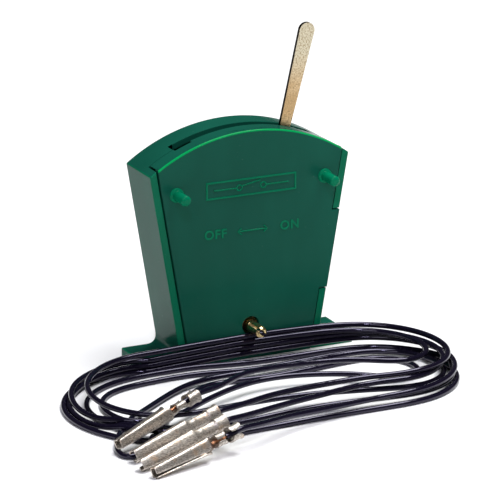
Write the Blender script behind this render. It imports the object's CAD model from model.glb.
import math

import bmesh
import bpy
import numpy as np
from mathutils import Matrix, Vector


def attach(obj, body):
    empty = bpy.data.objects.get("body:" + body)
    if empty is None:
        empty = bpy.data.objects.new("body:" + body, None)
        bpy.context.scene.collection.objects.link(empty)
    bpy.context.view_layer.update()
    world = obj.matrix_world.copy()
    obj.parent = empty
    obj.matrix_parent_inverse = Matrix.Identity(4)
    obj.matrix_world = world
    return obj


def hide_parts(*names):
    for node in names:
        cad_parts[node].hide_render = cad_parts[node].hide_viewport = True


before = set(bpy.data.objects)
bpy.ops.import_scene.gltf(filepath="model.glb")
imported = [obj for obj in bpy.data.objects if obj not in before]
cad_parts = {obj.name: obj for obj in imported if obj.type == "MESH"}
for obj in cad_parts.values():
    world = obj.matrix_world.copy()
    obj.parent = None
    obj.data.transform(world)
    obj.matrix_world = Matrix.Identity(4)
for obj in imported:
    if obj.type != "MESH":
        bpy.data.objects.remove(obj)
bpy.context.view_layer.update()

MM = 0.001

# ---------- camera ----------

CAMERA_AT = (-0.34751, -0.72217, 0.27772)
CAMERA_LOOKS_AT = (-0.000288, -0.0073, 0.02785)
CAMERA_LENS = 246.8  # in mm
CAMERA_SENSOR = 36  # in mm
CAMERA_ROLL = 0.19  # in degrees
CAMERA_SEES_TO = 10


def make_camera():
    data = bpy.data.cameras.new("camera")
    data.lens = CAMERA_LENS
    data.sensor_width = CAMERA_SENSOR
    data.clip_end = CAMERA_SEES_TO
    camera = bpy.data.objects.new("camera", data)
    bpy.context.scene.collection.objects.link(camera)
    view = Vector(CAMERA_LOOKS_AT) - Vector(CAMERA_AT)
    turn = view.to_track_quat("-Z", "Y").to_matrix().to_4x4()
    roll = Matrix.Rotation(math.radians(CAMERA_ROLL), 4, "Z")
    camera.matrix_world = Matrix.Translation(CAMERA_AT) @ turn @ roll
    bpy.context.scene.camera = camera


make_camera()

# ---------- the leads' routes ----------
# Everything in this section is in millimetres.

WIRE_RADIUS = 0.7
WIRE_STEP = 2.0  # between the points of a lead
COVER_Y = -7.3  # the cover's face
PIVOT_Z = 8.5
FOOT_HALF = 28.2  # half the width across the feet
# Each plug's tip, and a point further back on its axis.
PLUGS = [
    ((-56.4, -54.6, 2.7), (-33.2, -46.1, 8.0)),
    ((-55.3, -60.8, 1.7), (-30.4, -53.4, 6.2)),
    ((-56.1, -66.4, 1.5), (-31.5, -59.3, 5.9)),
    ((-55.0, -71.4, 1.4), (-31.3, -64.6, 5.2)),
]
# The distances from a plug's tip where its wire starts, comes out of the grip, and runs level.
WIRE_LEAVES = (21.5, 26.5, 35)
# The leads run round two circles on the floor, a larger one at the left: x, y, radius.
LEFT_END = (-32.4, -30.4, 25.6)
RIGHT_END = (18.8, -32.2, 22.4)
POINTS_PER_QUARTER = 10
SKIPPED_POINTS = 3  # at the start of the turns, to give a wire room to come in from its plug
LATE = 1.4  # a power above 1 holds the turns out until late in the left end
SUBSTEPS = 12  # between the points of a route, before it is divided evenly
SMOOTHING_ROUNDS = 10  # these take the corners out of a route
SMOOTHING = 0.5
HELD_POINTS = 4  # at each end of a lead, which never move from its route


def plug_point(number, distance):
    """The point on a plug's axis that far from its tip."""
    tip, towards = (np.array(p) for p in PLUGS[number - 1])
    along = (towards - tip) / np.linalg.norm(towards - tip)
    return tip + along * distance


def oval_point(quarter, inset):
    """A point of the oval that the two end circles and their tangents make, that far inside it.
    Quarter 0 is the middle of the near side, 1 the right end, 2 the far side and 3 the left end."""
    phase = quarter % 4
    on_right, on_far = phase < 2, 1 <= phase < 3
    gap_x, gap_y = RIGHT_END[0] - LEFT_END[0], RIGHT_END[1] - LEFT_END[1]
    apart = math.hypot(gap_x, gap_y)
    along = math.atan2(gap_y, gap_x)
    tangent = math.acos((LEFT_END[2] - RIGHT_END[2]) / apart)
    half = apart * math.sin(tangent) / 2
    x, y, outer = RIGHT_END if on_right else LEFT_END
    arc = outer * (tangent if on_right else math.pi - tangent)
    from_middle = phase if phase < 1 else abs(phase - 2) if phase < 3 else 4 - phase
    run = from_middle * (half + arc)
    edge = along + (tangent if on_far else -tangent)
    if run > half:
        turn = (run - half) / outer
        edge += turn if on_far != on_right else -turn
        run = half
    back = (half - run) * (-1 if on_right else 1)
    heading = along + (tangent - math.pi / 2) * (1 if on_far else -1)
    return np.array([
        x + (outer - inset) * math.cos(edge) + back * math.cos(heading),
        y + (outer - inset) * math.sin(edge) + back * math.sin(heading),
    ])


def smooth(keys, at):
    """A Catmull-Rom value between keys that are one apart."""
    i = min(int(at), len(keys) - 2)
    t = at - i
    k = [keys[max(0, min(len(keys) - 1, i + j))] for j in (-1, 0, 1, 2)]
    a = 2 * k[1]
    b = k[2] - k[0]
    c = 2 * k[0] - 5 * k[1] + 4 * k[2] - k[3]
    d = 3 * k[1] - k[0] - 3 * k[2] + k[3]
    return 0.5 * (a + t * (b + t * (c + t * d)))


def turns(*keys):
    """Points of half a lead's turns, from an (inset, height) pair at each quarter from the near side on."""
    keys = np.array(keys)
    points = []
    for i in range(SKIPPED_POINTS, (len(keys) - 1) * POINTS_PER_QUARTER + 1):
        at = i / POINTS_PER_QUARTER
        done = at % 1
        # the turns keep to the outside round the left end, until they pass under the plugs
        late = done**LATE if at % 4 > 3 else done
        inset, height = smooth(keys, at - done + late)
        points.append((*oval_point(at, inset), height))
    return points


def leaving(number, *points):
    """The stretch from inside a plug's grip, straight out and then level, and on through points."""
    start, leave, level = (plug_point(number, distance) for distance in WIRE_LEAVES)
    return [tuple(start), tuple(leave), (level[0], level[1], leave[2]), *points]


def on_floor(*points):
    """The middle of a wire that lies on the floor under those (x, y) points."""
    return [(x, y, WIRE_RADIUS) for x, y in points]


def lead_routes():
    """Both leads' routes. A lead is folded in two, and both halves are wound from its plugs to the fold.
    Each pair in a half's turns is for the near side, right end, far side and left end in turn."""
    a_far_half = leaving(1, (-14, -35.5, 8)) + turns(
        (26, 6.8), (5.5, 5.6), (0.3, 4.9), (3.6, 1.6), (26, 3), (7.5, 0.7), (16, 0.7)
    )
    a_near_half = leaving(2, (-12, -46.8, 5.8)) + turns(
        (13.5, 5.2), (0.8, 5.8), (0.2, 6.3), (6.8, 4.4), (12, 3), (2.4, 1.4), (12, 1.4)
    )
    b_far_half = leaving(3, (-12, -51.5, 4.6)) + turns(
        (10.5, 4.2), (2.2, 4.9), (0.5, 3.5), (1.9, 1), (5.5, 2), (0.3, 1.4), (4.5, 0.7)
    )
    b_near_half = leaving(4, (-13, -57, 3.6)) + turns(
        (2.6, 2.7), (0.2, 3.6), (0.7, 2.1), (0.2, 0.7), (1.2, 0.7), (0.4, 0.7), (9.5, 0.7)
    )
    a_fold = [(-21, -20.2, 1.5), (-34, -28, 1.2)] + on_floor(
        (-46, -38), (-54, -48.5), (-57.2, -55), (-56.6, -60.2), (-52.6, -60), (-47.6, -53.5), (-40, -43),
        (-30, -31.5), (-19, -22),
    )
    b_fold = on_floor(
        (-17, -8.9), (-28, -9.1), (-39, -11.2), (-47, -16.5), (-51.8, -25), (-51.8, -34), (-48.5, -43),
        (-42, -50), (-36, -53.4), (-31.4, -53), (-30, -49.8), (-33, -47.2), (-38.5, -45.8), (-43.6, -41.5),
        (-47.5, -35), (-48.6, -28), (-46.5, -21.5), (-41.5, -16.5), (-30, -14.4), (-18, -14),
    )
    return (
        a_near_half + a_fold + a_far_half[::-1],
        b_far_half + b_fold + b_near_half[::-1],
    )


def resampled(points):
    """Points an equal step apart along a smooth line through the given ones, with its corners taken out."""
    points = [np.array(p, float) for p in points]
    fine = []
    for i in range(len(points) - 1):
        fine += [smooth(points, i + j / SUBSTEPS) for j in range(SUBSTEPS)]
    fine = np.array(fine + [points[-1]])
    along = np.concatenate([[0], np.cumsum(np.linalg.norm(np.diff(fine, axis=0), axis=1))])
    at = np.linspace(0, along[-1], round(along[-1] / WIRE_STEP) + 1)
    even = np.stack([np.interp(at, along, fine[:, k]) for k in range(3)], axis=1)
    held = HELD_POINTS
    for _ in range(SMOOTHING_ROUNDS):
        before, after = even[held - 1 : -held - 1], even[held + 1 : 1 - held]
        even[held:-held] += SMOOTHING * ((before + after) / 2 - even[held:-held])
    return even


# ---------- how the leads settle ----------
# This is worked out in rounds, in which each point moves a little. Millimetres and rounds are the units.

ROUNDS = 420
SPEED_KEPT = 0.85  # from one round to the next
TOP_SPEED = 0.25
FALL = 0.006
HOMING = 0.03  # the share of the way back to its route that a point goes in a round
STRETCH_MENDED = 0.5  # the share of a stretch that each of its two ends takes up
BEND_MENDED = 0.35
OVERLAP_MENDED = 0.45
OVERLAP_HASTE = 1.6
CONTACT_ROUNDS = 2
ROUNDS_PER_SEARCH = 8
SEARCH_MARGIN = 1
NEIGHBOURS = 3  # segments of one lead that are this close along it can't touch
DEEPEST_PUSH = 0.3
# What the wires keep out of: the pin's nose, and each plug from one to another distance from its tip.
PIN_NOSE = ((0.0, COVER_Y, PIVOT_Z), (0.0, COVER_Y - 5.6, PIVOT_Z))
PIN_RADIUS = 1.5
PLUG_FROM, PLUG_TO = 1, 22
PLUG_RADIUS = 1.7
ROOM_BESIDE_FEET = 1.2
ROOM_BEFORE_COVER = 0.15
TINY = 1e-6


def closest(p1, q1, p2, q2):
    """Where segments p1-q1 and p2-q2 come nearest: the fractions along each, and the vector between them."""
    d1, d2, r = q1 - p1, q2 - p2, p1 - p2
    a, e, f = (d1 * d1).sum(1), (d2 * d2).sum(1), (d2 * r).sum(1)
    c, b = (d1 * r).sum(1), (d1 * d2).sum(1)
    room = a * e - b * b
    s = np.where(room > TINY, np.clip((b * f - c * e) / np.maximum(room, TINY), 0, 1), 0.5)
    t = np.clip((b * s + f) / e, 0, 1)
    s = np.clip((b * t - c) / a, 0, 1)
    return s, t, p1 + s[:, None] * d1 - p2 - t[:, None] * d2


def pushed_out(points, start, end, distance):
    """Where points go that are pushed out of a round-ended bar of that radius."""
    start, end = np.array(start), np.array(end)
    d = end - start
    t = np.clip(((points - start) @ d) / (d @ d), 0, 1)
    away = points - start - t[:, None] * d
    far = np.maximum(np.linalg.norm(away, axis=1), TINY)
    return points + away / far[:, None] * np.clip(distance - far, 0, DEEPEST_PUSH)[:, None]


def mend_lengths(place, free, segment, rest):
    """Moves points along their segments towards the segments' own lengths, the even ones first."""
    for part in (0, 1):
        s = segment[part::2]
        d = place[s + 1] - place[s]
        far = np.linalg.norm(d, axis=1)
        pull = (d / far[:, None]) * ((far - rest[part::2]) * STRETCH_MENDED)[:, None]
        place[s] += pull * free[s][:, None]
        place[s + 1] -= pull * free[s + 1][:, None]


def near_pairs(place, segment, lead):
    """The pairs of segments that may touch within the next few rounds."""
    middle = (place[segment] + place[segment + 1]) / 2
    square = (middle**2).sum(1)
    between = square[:, None] + square[None, :] - 2 * middle @ middle.T
    i, j = np.nonzero(between < (2 * WIRE_RADIUS + WIRE_STEP + SEARCH_MARGIN) ** 2)
    keep = (j > i) & ((lead[segment[i]] != lead[segment[j]]) | (j - i > NEIGHBOURS))
    return segment[i[keep]], segment[j[keep]]


def part_wires(place, free, i, j):
    """Moves the segments that start at points i and j apart where they overlap."""
    apart = 2 * WIRE_RADIUS
    s, t, gap = closest(place[i], place[i + 1], place[j], place[j + 1])
    far = np.maximum(np.linalg.norm(gap, axis=1), TINY)
    hit = far < apart
    push = gap[hit] / far[hit][:, None] * ((apart - far[hit]) * OVERLAP_MENDED)[:, None]
    move, count = np.zeros_like(place), np.zeros(len(place))
    for index, share, sign in (
        (i[hit], 1 - s[hit], 1),
        (i[hit] + 1, s[hit], 1),
        (j[hit], 1 - t[hit], -1),
        (j[hit] + 1, t[hit], -1),
    ):
        for k in range(3):
            move[:, k] += np.bincount(index, push[:, k] * sign * share, len(place))
        count += np.bincount(index, share, len(place))
    place += move / np.maximum(count, 1)[:, None] * free[:, None] * OVERLAP_HASTE


def keep_clear(place, free):
    """Keeps the wires out of the plugs, the pin, the case and the floor."""
    for number in range(1, len(PLUGS) + 1):
        ends = plug_point(number, PLUG_FROM), plug_point(number, PLUG_TO)
        place[free] = pushed_out(place, *ends, PLUG_RADIUS + WIRE_RADIUS)[free]
    place[free] = pushed_out(place, *PIN_NOSE, PIN_RADIUS + WIRE_RADIUS)[free]
    before_case = free & (np.abs(place[:, 0]) < FOOT_HALF + ROOM_BESIDE_FEET)
    place[before_case, 1] = np.minimum(place[before_case, 1], COVER_Y - WIRE_RADIUS - ROOM_BEFORE_COVER)
    place[free, 2] = np.maximum(place[free, 2], WIRE_RADIUS)


def settled(routes):
    """Lets the leads fall on the floor and on each other, by moving points until no rule is broken."""
    lines = [resampled(route) for route in routes]
    lead = np.concatenate([np.full(len(line), k) for k, line in enumerate(lines)])
    home = np.concatenate(lines)
    free = np.ones(len(home), bool)
    ends = np.cumsum([len(line) for line in lines])
    for first, last in zip([0, *ends[:-1]], ends):
        free[first : first + HELD_POINTS] = False
        free[last - HELD_POINTS : last] = False
    inner = np.nonzero(lead[:-2] == lead[2:])[0] + 1
    bend = home[inner] - (home[inner - 1] + home[inner + 1]) / 2
    bend[:, 2] = 0
    segment = np.nonzero(lead[:-1] == lead[1:])[0]
    rest = np.linalg.norm(home[segment + 1] - home[segment], axis=1)
    place = home.copy()
    before = place.copy()
    for step in range(ROUNDS):
        speed = np.clip((place - before) * SPEED_KEPT, -TOP_SPEED, TOP_SPEED)
        before = place.copy()
        place += speed * free[:, None]
        place[free, 2] -= FALL
        place[free] += HOMING * (home[free] - place[free])
        mend_lengths(place, free, segment, rest)
        aim = (place[inner - 1] + place[inner + 1]) / 2 + bend
        place[inner] += BEND_MENDED * (aim - place[inner]) * free[inner][:, None]
        if step % ROUNDS_PER_SEARCH == 0:
            pairs = near_pairs(place, segment, lead)
        for _ in range(CONTACT_ROUNDS):
            part_wires(place, free, *pairs)
        keep_clear(place, free)
    return [place[lead == k] for k in range(len(lines))]


# ---------- materials ----------


class Nodes:
    """A material's node tree, with short calls for the nodes that the materials here share."""

    def __init__(self, name):
        self.material = bpy.data.materials.new(name)
        self.material.use_nodes = True
        self.tree = self.material.node_tree
        self.shader = self.tree.nodes["Principled BSDF"]
        self.place = self.add("ShaderNodeTexCoord").outputs["Object"]

    def add(self, kind, **settings):
        node = self.tree.nodes.new(kind)
        for key, value in settings.items():
            setattr(node, key, value)
        return node

    def link(self, source, target):
        self.tree.links.new(source, target)

    def set(self, **values):
        for key, value in values.items():
            self.shader.inputs[key.replace("_", " ")].default_value = value

    def noise(self, scale, detail, stretch=None):
        """Noise of about that many features a metre."""
        place = self.place
        if stretch:
            mapping = self.add("ShaderNodeMapping")
            mapping.inputs["Scale"].default_value = stretch
            self.link(place, mapping.inputs["Vector"])
            place = mapping.outputs["Vector"]
        node = self.add("ShaderNodeTexNoise")
        node.inputs["Scale"].default_value = scale
        node.inputs["Detail"].default_value = detail
        self.link(place, node.inputs["Vector"])
        return node.outputs["Fac"]

    def ramp(self, factor, *stops):
        """A colour ramp: each stop is (position, grey or colour)."""
        node = self.add("ShaderNodeValToRGB")
        stones = node.color_ramp.elements
        while len(stones) < len(stops):
            stones.new(0.5)
        for stone, (position, colour) in zip(stones, stops):
            stone.position = position
            stone.color = (*colour, 1) if isinstance(colour, tuple) else (colour, colour, colour, 1)
        self.link(factor, node.inputs["Fac"])
        return node.outputs["Color"]

    def mix(self, factor, first, second):
        """The first colour, or the second where the factor is 1. Each is a colour or a socket."""
        node = self.add("ShaderNodeMix", data_type="RGBA")
        for name, value in (("Factor", factor), ("A", first), ("B", second)):
            if isinstance(value, bpy.types.NodeSocket):
                self.link(value, node.inputs[name])
            else:
                node.inputs[name].default_value = (*value, 1)
        return node.outputs["Result"]

    def bump(self, *layers):
        """Raised detail, from (height, depth in metres) layers."""
        before = None
        for height, depth in layers:
            node = self.add("ShaderNodeBump")
            node.inputs["Distance"].default_value = depth
            self.link(height, node.inputs["Height"])
            if before:
                self.link(before, node.inputs["Normal"])
            before = node.outputs["Normal"]
        self.link(before, self.shader.inputs["Normal"])

    def colour(self, source):
        self.link(source, self.shader.inputs["Base Color"])

    def roughness(self, source):
        self.link(source, self.shader.inputs["Roughness"])


def green_plastic(name, tone):
    """Glossy bottle-green polystyrene: faint flow marks, a fine grain, rubbed patches and a little dust."""
    n = Nodes(name)
    dusty = (0.16, 0.3, 0.24)
    flow = n.noise(45, 4, (1, 1, 0.35))
    thin, dense = (tuple(c * shade for c in tone) for shade in (0.85, 1.2))
    plastic = n.ramp(flow, (0.3, thin), (0.7, dense))
    dust = n.ramp(n.noise(1500, 2), (0.73, 0.0), (0.8, 0.5))
    n.colour(n.mix(dust, plastic, dusty))
    rubbed = n.noise(160, 5)
    n.roughness(n.ramp(rubbed, (0.35, 0.17), (0.72, 0.27)))
    n.set(IOR=1.15)
    n.bump((n.noise(70, 2), 0.00008), (n.noise(2200, 2), 0.000006))
    return n.material


def lever_nickel():
    """Warm nickel plating, speckled and slightly pitted, and paler where fingers hold it."""
    n = Nodes("lever_nickel")
    brown, brassy = (0.5, 0.34, 0.17), (0.64, 0.47, 0.27)
    pale, speck = (0.64, 0.58, 0.42), (0.36, 0.25, 0.13)
    held_from, held_above = 0.066, 0.074  # heights in metres
    specks = n.noise(2600, 6)
    clouds = n.noise(120, 3)
    plating = n.mix(n.ramp(clouds, (0.4, 0.0), (0.6, 1.0)), brown, brassy)
    height = n.add("ShaderNodeSeparateXYZ")
    n.link(n.place, height.inputs["Vector"])
    handled = n.ramp(height.outputs["Z"], (held_from, 0.0), (held_above, 1.0))
    plating = n.mix(handled, plating, pale)
    n.colour(n.mix(n.ramp(specks, (0.38, 0.75), (0.5, 0.0)), plating, speck))
    n.roughness(n.ramp(specks, (0.35, 0.42), (0.65, 0.24)))
    n.set(Metallic=1.0)
    n.bump((specks, 0.00002))
    return n.material


def brass(name, bright, dull, rough):
    """Turned or stamped brass with fine tool marks and a brown bloom."""
    n = Nodes(name)
    bloom = n.noise(380, 5)
    n.colour(n.ramp(bloom, (0.38, dull), (0.62, bright)))
    n.roughness(n.ramp(bloom, (0.3, rough + 0.16), (0.7, rough)))
    n.set(Metallic=1.0)
    n.bump((n.noise(900, 3, (1, 5, 1)), 0.000012))
    return n.material


def tinned_metal():
    """Tinned brass strip: a grey, uneven coat with warm stains and fine scratches."""
    n = Nodes("tinned_metal")
    dull, bright, stained = (0.26, 0.22, 0.19), (0.78, 0.73, 0.66), (0.66, 0.45, 0.28)
    stains = n.noise(330, 6)
    scratches = n.noise(1500, 4, (1, 4, 4))
    coat = n.ramp(scratches, (0.36, dull), (0.66, bright))
    n.colour(n.mix(n.ramp(stains, (0.56, 0.0), (0.74, 0.75)), coat, stained))
    n.roughness(n.ramp(scratches, (0.3, 0.6), (0.7, 0.34)))
    n.set(Metallic=1.0)
    n.bump((n.noise(700, 4), 0.00009), (scratches, 0.00003))
    return n.material


def plain_metal(name, dark, light, rough):
    """Metal with fine marks that run one way, a dark and a light tone of them."""
    n = Nodes(name)
    marks = n.noise(900, 4, (1, 3, 1))
    n.colour(n.ramp(marks, (0.35, dark), (0.65, light)))
    n.roughness(n.ramp(marks, (0.3, rough + 0.12), (0.7, rough)))
    n.set(Metallic=1.0)
    n.bump((marks, 0.00001))
    return n.material


def wire_insulation():
    """Glossy blue-black PVC, drawn smooth, with fine dust and small scuffs."""
    n = Nodes("wire_insulation")
    blue_black, dusty = (0.006, 0.0045, 0.013), (0.06, 0.055, 0.08)
    dust = n.noise(1800, 5)
    n.colour(n.mix(n.ramp(dust, (0.62, 0.0), (0.75, 0.35)), blue_black, dusty))
    n.roughness(n.ramp(n.noise(420, 4), (0.35, 0.07), (0.7, 0.15)))
    n.set(IOR=1.5, Specular_Tint=(0.8, 0.76, 1.0, 1))
    n.bump((n.noise(500, 3), 0.00003))
    return n.material


def white_paper():
    n = Nodes("paper")
    n.colour(n.ramp(n.noise(3, 2), (0.3, 0.92), (0.7, 0.94)))
    n.set(Roughness=0.9, Specular_IOR_Level=0.1)
    return n.material


GREEN = green_plastic("green_plastic", (0.006, 0.086, 0.056))
# The plastic passes some light, so thin edges and raised marks look brighter.
GREEN_EDGE = green_plastic("green_edge", (0.0015, 0.3, 0.08))
GREEN_MARK = green_plastic("green_mark", (0.001, 0.16, 0.075))
GREEN_RIM = green_plastic("green_rim", (0.002, 0.14, 0.07))
NICKEL = lever_nickel()
CUT_EDGE = plain_metal("cut_edge", (0.008, 0.006, 0.005), (0.03, 0.022, 0.018), 0.45)
PIN_BRASS = brass("pin_brass", (0.95, 0.74, 0.36), (0.3, 0.2, 0.11), 0.2)
STRIP_BRASS = brass("strip_brass", (0.78, 0.58, 0.28), (0.45, 0.3, 0.13), 0.3)
TINNED = tinned_metal()
SPRING_STEEL = plain_metal("spring_steel", (0.2, 0.21, 0.24), (0.42, 0.43, 0.46), 0.28)
SILVER = plain_metal("contact_silver", (0.72, 0.72, 0.7), (0.9, 0.9, 0.88), 0.2)
COPPER = plain_metal("strand_copper", (0.5, 0.22, 0.11), (0.8, 0.42, 0.24), 0.3)
WIRE = wire_insulation()

# ---------- the plugs and leads ----------

# A plug is one strip of metal, rolled up by a different amount along its length. Each row is the distance
# from the tip, the half width and half height of the roll, half the angle it wraps, and its centre's height.
PLUG_STRIP = [
    (0.0, 1.3, 1.2, 150, 0.0), (0.25, 1.4, 1.3, 158, 0.0), (7.5, 1.65, 1.5, 168, 0.0),
    (13.6, 1.9, 1.7, 172, 0.0), (15.2, 2.0, 1.8, 170, 0.0), (15.8, 2.15, 1.9, 150, 0.1),
    (16.2, 2.0, 1.6, 100, 0.0), (16.8, 1.75, 1.3, 78, -0.1), (17.6, 1.65, 1.15, 72, -0.15),
    (18.2, 1.6, 1.1, 84, -0.1), (18.5, 1.65, 1.15, 150, 0.0), (18.8, 1.55, 1.05, 171, 0.0),
    (19.8, 1.5, 0.95, 172, 0.0), (20.8, 1.55, 1.05, 171, 0.0), (21.1, 1.65, 1.15, 150, 0.0),
    (21.4, 1.6, 1.1, 80, -0.1), (22.2, 1.7, 1.2, 74, -0.1), (22.5, 1.95, 1.6, 140, 0.0),
    (22.8, 1.95, 1.6, 164, 0.0), (24.0, 1.85, 1.5, 167, 0.0), (25.1, 2.0, 1.65, 162, 0.0),
    (25.5, 2.15, 1.8, 148, 0.0),
]
STRIP_THICKNESS = 0.28
STRIP_EDGE = 0.05  # how far the strip's edges are rounded
STRIP_CORNER = math.radians(50)
ACROSS = 25  # points across the strip
SLEEVE_ENDS = 16  # the sleeve is up to there from the tip, and the two crimps are beyond
SLEEVE_ROUND, CRIMP_ROUND = 0.55, 0.8  # powers: 1 gives a round section, and less gives a boxy one
SLEEVE_LAP = 0.22  # how far one edge of the sleeve goes in under the other
CRIMP_LAP = 0.12  # how far both edges of a crimp turn in
# Roll about the plug's axis in degrees, flattening of the sleeve, and the side its joint is turned to.
PLUG_LIES = {1: (-18, 1.02, 25), 2: (-118, 0.95, -10), 3: (-124, 0.92, 20), 4: (66, 0.9, 35)}

STRANDS = 7  # one in the middle and the rest round it
STRAND_RADIUS = 0.115
STRAND_RING = 0.235
STRAND_TWIST = 0.6  # turns from end to end
STRAND_STEPS = 14
STRANDS_START = 17.4  # from the plug's tip
STRANDS_LENGTH = 4.6

LEADS = (("a", (2, 1), 0.85), ("b", (3, 4), 0.95))  # the plug at each end, and the real length in metres


def placed(obj, body="case"):
    bpy.context.scene.collection.objects.link(obj)
    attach(obj, body)
    return obj


def squared(value, power):
    """A sine or cosine that is taken to a power and keeps its sign."""
    return math.copysign(abs(value) ** power, value)


def plug_matrix(number, roll):
    """Turns a plug drawn along +X from its tip to where it lies, rolled about its own axis."""
    tip, towards = (Vector(p) for p in PLUGS[number - 1])
    along = (towards - tip).normalized()
    side = Vector((0, 0, 1)).cross(along).normalized()
    over = along.cross(side)
    turn = Matrix((along, side, over)).transposed().to_4x4()
    return Matrix.Translation(tip * MM) @ turn @ Matrix.Rotation(math.radians(roll), 4, "X")


def make_plug(number, roll, squash, seam):
    """A crimped plug; squash flattens its sleeve, and seam turns the joint of the sleeve to one side."""
    bm = bmesh.new()
    rows = []
    for distance, half_width, half_height, wrap, lift in PLUG_STRIP:
        on_sleeve = distance < SLEEVE_ENDS
        flat = squash if on_sleeve else 1.0
        power = SLEEVE_ROUND if on_sleeve else CRIMP_ROUND
        row = []
        for k in range(ACROSS):
            share = 2 * k / (ACROSS - 1) - 1
            angle = math.radians(share * wrap - 90 + (seam if on_sleeve else 0))
            lap = SLEEVE_LAP * max(0.0, share) if on_sleeve else CRIMP_LAP * abs(share)
            y = squared(math.cos(angle), power) * (half_width - lap)
            z = squared(math.sin(angle), power) * (half_height - lap) * flat
            row.append(bm.verts.new((distance * MM, y * MM, (z + lift) * MM)))
        rows.append(row)
    for first, second in zip(rows, rows[1:]):
        for k in range(ACROSS - 1):
            bm.faces.new((first[k], first[k + 1], second[k + 1], second[k]))
    for face in bm.faces:
        face.smooth = True
    mesh = bpy.data.meshes.new(f"plug_{number}_fine")
    bm.to_mesh(mesh)
    bm.free()
    mesh.transform(plug_matrix(number, roll))
    mesh.materials.append(TINNED)
    plug = placed(bpy.data.objects.new(f"plug_{number}_fine", mesh))
    shell = plug.modifiers.new("thickness", "SOLIDIFY")
    shell.thickness = STRIP_THICKNESS * MM
    shell.offset = -1
    rounder = plug.modifiers.new("edges", "BEVEL")
    rounder.width = STRIP_EDGE * MM
    rounder.segments = 2
    rounder.limit_method = "ANGLE"
    rounder.angle_limit = STRIP_CORNER
    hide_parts(f"plug_{number}")
    return plug


def make_strands(number):
    """The twisted copper strands between a plug's sleeve and the insulation."""
    data = bpy.data.curves.new(f"strands_{number}", "CURVE")
    data.dimensions = "3D"
    data.bevel_depth = STRAND_RADIUS * MM
    data.bevel_resolution = 2
    round_it = STRANDS - 1
    for strand in range(STRANDS):
        offset = STRAND_RING if strand < round_it else 0.0
        spline = data.splines.new("POLY")
        spline.points.add(STRAND_STEPS)
        for i in range(STRAND_STEPS + 1):
            turn = math.tau * (strand / round_it + i / STRAND_STEPS * STRAND_TWIST)
            along = STRANDS_START + STRANDS_LENGTH * i / STRAND_STEPS
            place = (along, offset * math.cos(turn), offset * math.sin(turn))
            spline.points[i].co = (*(c * MM for c in place), 1)
    data.transform(plug_matrix(number, 0))
    data.materials.append(COPPER)
    strands = placed(bpy.data.objects.new(f"strands_{number}", data))
    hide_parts(f"conductor_{number}")
    return strands


def make_wire(name, points):
    data = bpy.data.curves.new(name, "CURVE")
    data.dimensions = "3D"
    data.bevel_depth = WIRE_RADIUS * MM
    data.bevel_resolution = 4
    spline = data.splines.new("NURBS")
    spline.points.add(len(points) - 1)
    spline.points.foreach_set("co", [c for p in points for c in (*(p * MM), 1.0)])
    spline.order_u = 4
    spline.use_endpoint_u = True
    spline.resolution_u = 3
    data.materials.append(WIRE)
    return placed(bpy.data.objects.new(name, data))


plugs = {number: make_plug(number, *lie) for number, lie in PLUG_LIES.items()}
strands = {number: make_strands(number) for number in PLUG_LIES}
for (letter, ends, length), line in zip(LEADS, settled(lead_routes())):
    wire = make_wire(f"lead_{letter}", line)
    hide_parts(f"lead_{letter}_hank", *(f"lead_tail_{end}" for end in ends))

# ---------- the case, cover, lever and pin ----------

HALF_AT_FOOT = 16.5  # half the cover's width at its foot and at its top corners
HALF_AT_TOP = 24.65
FOOT_TOP = 2.4
COVER_CORNER_Z = 50.7
SIDE_SLOPE = (HALF_AT_TOP - HALF_AT_FOOT) / (COVER_CORNER_Z - FOOT_TOP)
CASE_BACK = 7.3
RIM_Y = -7.0  # the front of the case's walls
CASE_EDGE = 2.2  # from the cover's edge to the outside of the case
PEG_LENGTH = 6.1
PEGS_ABOVE = 30  # what stands out from the cover's face above this height is a peg
# How far from the planes and outlines above an edge may lie and still belong to them.
ON_PLANE = 0.02
NEAR = 0.1
PROUD = 0.05  # what stands out from the face by more than this is raised
COVER_RIM = 0.25
CASE_RIM = 0.3
COVER_ARC_ABOVE = 50.5  # the curved tops of the cover and the case are above these heights
CASE_ARC_ABOVE = 49.4

SHARP = math.radians(28)  # edges with a larger turn are rounded and drawn sharp
FLAT = math.radians(0.4)  # faces with a smaller turn between them become one
WELD = 1e-6  # in metres
CUT_SIDE = 0.4  # a face of the lever whose normal has less of Y than this is one of its cut sides


def half_width(z):
    """Half the cover's width at height z."""
    return HALF_AT_FOOT + SIDE_SLOPE * (z - FOOT_TOP)


def on_cover_top(edge):
    """An edge of the cover's curved top, on its face."""
    return all(v.co.z / MM > COVER_ARC_ABOVE and abs(v.co.y / MM - COVER_Y) < ON_PLANE for v in edge.verts)


def on_cover_rim(edge):
    """An edge of the cover's outline, on its face."""
    for x, y, z in (v.co / MM for v in edge.verts):
        inside = abs(x) < half_width(z) - COVER_RIM and z < COVER_ARC_ABOVE
        if abs(y - COVER_Y) > ON_PLANE or inside:
            return False
    return True


def on_case_rim(edge):
    """An edge of the case's outline, at its front rim or its back, but not under its foot."""
    for x, y, z in (v.co / MM for v in edge.verts):
        inside = abs(x) < half_width(z) + CASE_EDGE - CASE_RIM and FOOT_TOP + NEAR < z < CASE_ARC_ABOVE
        if min(abs(y - RIM_Y), abs(y - CASE_BACK)) > ON_PLANE or inside or z < NEAR:
            return False
    return True


def on_peg_tip(edge):
    """The rim of a peg's end."""
    return all(v.co.y / MM < COVER_Y - PEG_LENGTH + NEAR and v.co.z / MM > PEGS_ABOVE for v in edge.verts)


def anywhere(_):
    return True


def case_finish(face):
    """The case's front rim is thin, so it looks a little brighter."""
    return 1 if abs(face.calc_center_median().y / MM - RIM_Y) < ON_PLANE else 0


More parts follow.
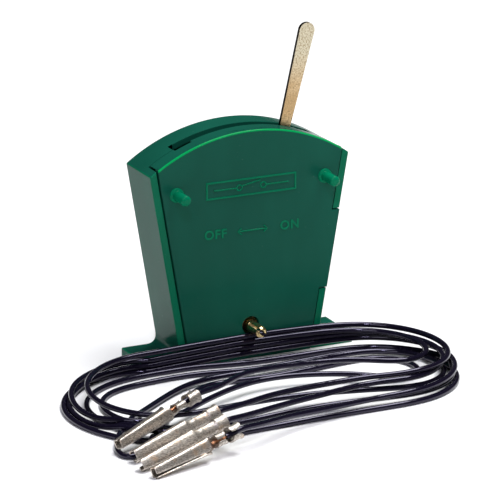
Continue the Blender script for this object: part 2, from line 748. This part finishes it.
def cover_finish(face):
    """What stands proud of the cover's face looks a little brighter too."""
    return 2 if face.calc_center_median().y / MM < COVER_Y - PROUD else 0


def lever_finish(face):
    """The lever's cut sides are dark."""
    return 1 if abs(face.normal.y) < CUT_SIDE else 0


def fine_copy(node, name, finishes, bevels, body="case", repainted=None):
    """A copy of a CAD node with whole flat faces, rounded edges and smooth curves, in the node's place.
    finishes are its materials, and repainted gives the number of one for a face, or 0.
    bevels are (which edges, width in mm, segments, material number), the widest first."""
    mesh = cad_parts[node].data.copy()
    mesh.name = name
    mesh.materials.clear()
    for finish in finishes:
        mesh.materials.append(finish)
    bm = bmesh.new()
    bm.from_mesh(mesh)
    bmesh.ops.remove_doubles(bm, verts=bm.verts, dist=WELD)
    bmesh.ops.dissolve_limit(bm, angle_limit=FLAT, verts=bm.verts, edges=bm.edges)
    for chosen, width, segments, finish in bevels:
        edges = [e for e in bm.edges if e.is_manifold and e.calc_face_angle(0) > SHARP and chosen(e)]
        bmesh.ops.bevel(
            bm,
            geom=edges,
            offset=width * MM,
            offset_type="OFFSET",
            segments=segments,
            profile=0.5,
            affect="EDGES",
            clamp_overlap=False,
            material=finish,
        )
    for face in bm.faces:
        face.smooth = True
        if repainted and repainted(face):
            face.material_index = repainted(face)
    bm.to_mesh(mesh)
    bm.free()
    mesh.set_sharp_from_angle(angle=SHARP)
    piece = placed(bpy.data.objects.new(name, mesh), body)
    normals = piece.modifiers.new("normals", "WEIGHTED_NORMAL")
    normals.keep_sharp = True
    normals.weight = 100
    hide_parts(node)
    return piece


FINE = ((anywhere, 0.1, 2, 0),)
THIN = ((anywhere, 0.06, 2, 0),)
fine_copy(
    "rear_casing",
    "casing_shell",
    (GREEN, GREEN_RIM),
    ((on_case_rim, 0.3, 4, 1), (anywhere, 0.12, 2, 0)),
    repainted=case_finish,
)
fine_copy(
    "front_cover",
    "cover_shell",
    (GREEN, GREEN_EDGE, GREEN_MARK),
    ((on_cover_top, 0.4, 4, 1), (on_cover_rim, 0.2, 3, 0), (on_peg_tip, 0.5, 5, 2), (anywhere, 0.1, 2, 0)),
    repainted=cover_finish,
)
fine_copy(
    "switch_lever",
    "lever_strip",
    (NICKEL, CUT_EDGE),
    ((anywhere, 0.05, 2, 0),),
    "lever",
    lever_finish,
)
fine_copy("lever_bush", "lever_bush_fine", (PIN_BRASS,), FINE, "lever")
fine_copy("pivot_pin", "pivot_pin_fine", (PIN_BRASS,), ((anywhere, 0.09, 2, 0),))
fine_copy("retaining_collar", "collar_fine", (PIN_BRASS,), FINE)
fine_copy("common_contact", "common_strip", (STRIP_BRASS,), THIN)
fine_copy("fixed_contact", "fixed_strip", (STRIP_BRASS,), THIN)
fine_copy("contact_button", "contact_button_fine", (SILVER,), THIN)
fine_copy("spring_washer", "spring_washer_fine", (SPRING_STEEL,), ((anywhere, 0.05, 1, 0),))

# ---------- raised marks on the cover ----------

PLATE_Z = 44.0
SYMBOL_HALF = 10  # half the length of the switch symbol
TERMINAL_X = 3.2
TERMINAL_RADIUS = 0.7
RING_SIDES = 24
SYMBOL_LINE = 0.42

WORDS_Z = 32.9
LETTER_SIZE = 3.1
LETTER_SPACING = 1.15
LETTER_RISE = 0.11
LETTER_EDGE = 0.05
LETTER_SWELL = 0.06
LETTERS_OUT = 0.02  # how far the middles of the letters and lines are in front of the face
LINES_OUT = 0.04

ARROW_LEFT, ARROW_RIGHT = -3.6, 4.4
ARROW_HEAD = 1.0
ARROW_HEAD_HALF = 0.8
ARROW_LINE = 0.4


def on_face(curve, name):
    """Makes a piece of the cover's face from a curve."""
    curve.materials.append(GREEN_MARK)
    piece = placed(bpy.data.objects.new(name, curve))
    return piece


def make_word(name, text, x):
    curve = bpy.data.curves.new(name, "FONT")
    curve.body = text
    curve.size = LETTER_SIZE * MM
    curve.align_x = "CENTER"
    curve.align_y = "CENTER"
    curve.space_character = LETTER_SPACING
    curve.extrude = LETTER_RISE * MM
    curve.bevel_depth = LETTER_EDGE * MM
    curve.bevel_resolution = 2
    curve.offset = LETTER_SWELL * MM
    piece = on_face(curve, name)
    turn = Matrix.Rotation(math.radians(90), 4, "X")
    piece.matrix_world = Matrix.Translation((x * MM, (COVER_Y - LETTERS_OUT) * MM, WORDS_Z * MM)) @ turn


def make_strokes(name, strokes, thickness):
    """Raised half-round lines on the face: each stroke is a list of (x, z) points."""
    curve = bpy.data.curves.new(name, "CURVE")
    curve.dimensions = "3D"
    curve.bevel_depth = thickness / 2 * MM
    curve.bevel_resolution = 3
    curve.use_fill_caps = True
    for stroke in strokes:
        spline = curve.splines.new("POLY")
        spline.points.add(len(stroke) - 1)
        for point, (x, z) in zip(spline.points, stroke):
            point.co = (x * MM, (COVER_Y - LINES_OUT) * MM, z * MM, 1)
    on_face(curve, name)


def ring(x, z, radius):
    angles = [math.tau * i / RING_SIDES for i in range(RING_SIDES + 1)]
    return [(x + radius * math.cos(angle), z + radius * math.sin(angle)) for angle in angles]


def arrow_head(tip, back):
    """The two strokes that meet at an arrow's tip, and lie back from it by that much in X."""
    return [(tip + back, WORDS_Z + ARROW_HEAD_HALF), (tip, WORDS_Z), (tip + back, WORDS_Z - ARROW_HEAD_HALF)]


make_strokes(
    "switch_symbol",
    [
        [(-SYMBOL_HALF, PLATE_Z), (-TERMINAL_X - TERMINAL_RADIUS, PLATE_Z)],
        ring(-TERMINAL_X, PLATE_Z, TERMINAL_RADIUS),
        [(-2.6, PLATE_Z + 0.35), (2.4, PLATE_Z + 1.35)],
        ring(TERMINAL_X, PLATE_Z, TERMINAL_RADIUS),
        [(TERMINAL_X + TERMINAL_RADIUS, PLATE_Z), (SYMBOL_HALF, PLATE_Z)],
    ],
    SYMBOL_LINE,
)
make_word("word_off", "OFF", -9.6)
make_word("word_on", "ON", 10.4)
make_strokes(
    "throw_arrow",
    [
        [(ARROW_LEFT, WORDS_Z), (ARROW_RIGHT, WORDS_Z)],
        arrow_head(ARROW_LEFT, ARROW_HEAD),
        arrow_head(ARROW_RIGHT, -ARROW_HEAD),
    ],
    ARROW_LINE,
)

# ---------- floor and lights ----------

FLOOR_HALF = 2.5
WORLD_COLOUR = (0.93, 0.95, 1.0, 1)
WORLD_STRENGTH = 0.03
# Each light's name, place, the point it is aimed at, its sides in metres, its power in watts and its colour.
LIGHTS = (
    ("top_box", (0.42, -0.02, 1.5), (0, -0.02, 0), (1.3, 0.85), 34, (1, 1, 1)),
    ("front_left", (-0.9, -0.9, 0.7), (0, 0, 0.02), (0.5, 0.5), 3, (1, 1, 1)),
    ("small_lamp", (-0.35, -0.7, 0.75), (0, -0.02, 0), (0.12, 0.12), 2.5, (0.84, 0.82, 1.0)),
)


def make_floor():
    """A wide sheet of white paper."""
    half = FLOOR_HALF
    corners = [(-half, -half, 0), (half, -half, 0), (half, half, 0), (-half, half, 0)]
    mesh = bpy.data.meshes.new("floor")
    mesh.from_pydata(corners, [], [(0, 1, 2, 3)])
    mesh.materials.append(white_paper())
    floor = bpy.data.objects.new("floor", mesh)
    bpy.context.scene.collection.objects.link(floor)


def make_area_light(name, place, aim, sides, power, colour):
    data = bpy.data.lights.new(name, "AREA")
    data.shape = "RECTANGLE"
    data.size, data.size_y = sides
    data.energy = power
    data.color = colour
    light = bpy.data.objects.new(name, data)
    bpy.context.scene.collection.objects.link(light)
    turn = (Vector(aim) - Vector(place)).to_track_quat("-Z", "Y").to_matrix().to_4x4()
    light.matrix_world = Matrix.Translation(place) @ turn


def make_world():
    world = bpy.data.worlds.new("studio")
    world.use_nodes = True
    background = world.node_tree.nodes["Background"]
    background.inputs["Color"].default_value = WORLD_COLOUR
    background.inputs["Strength"].default_value = WORLD_STRENGTH
    bpy.context.scene.world = world


make_floor()
make_world()
for light in LIGHTS:
    make_area_light(*light)
bpy.context.scene.view_settings.view_transform = "Standard"
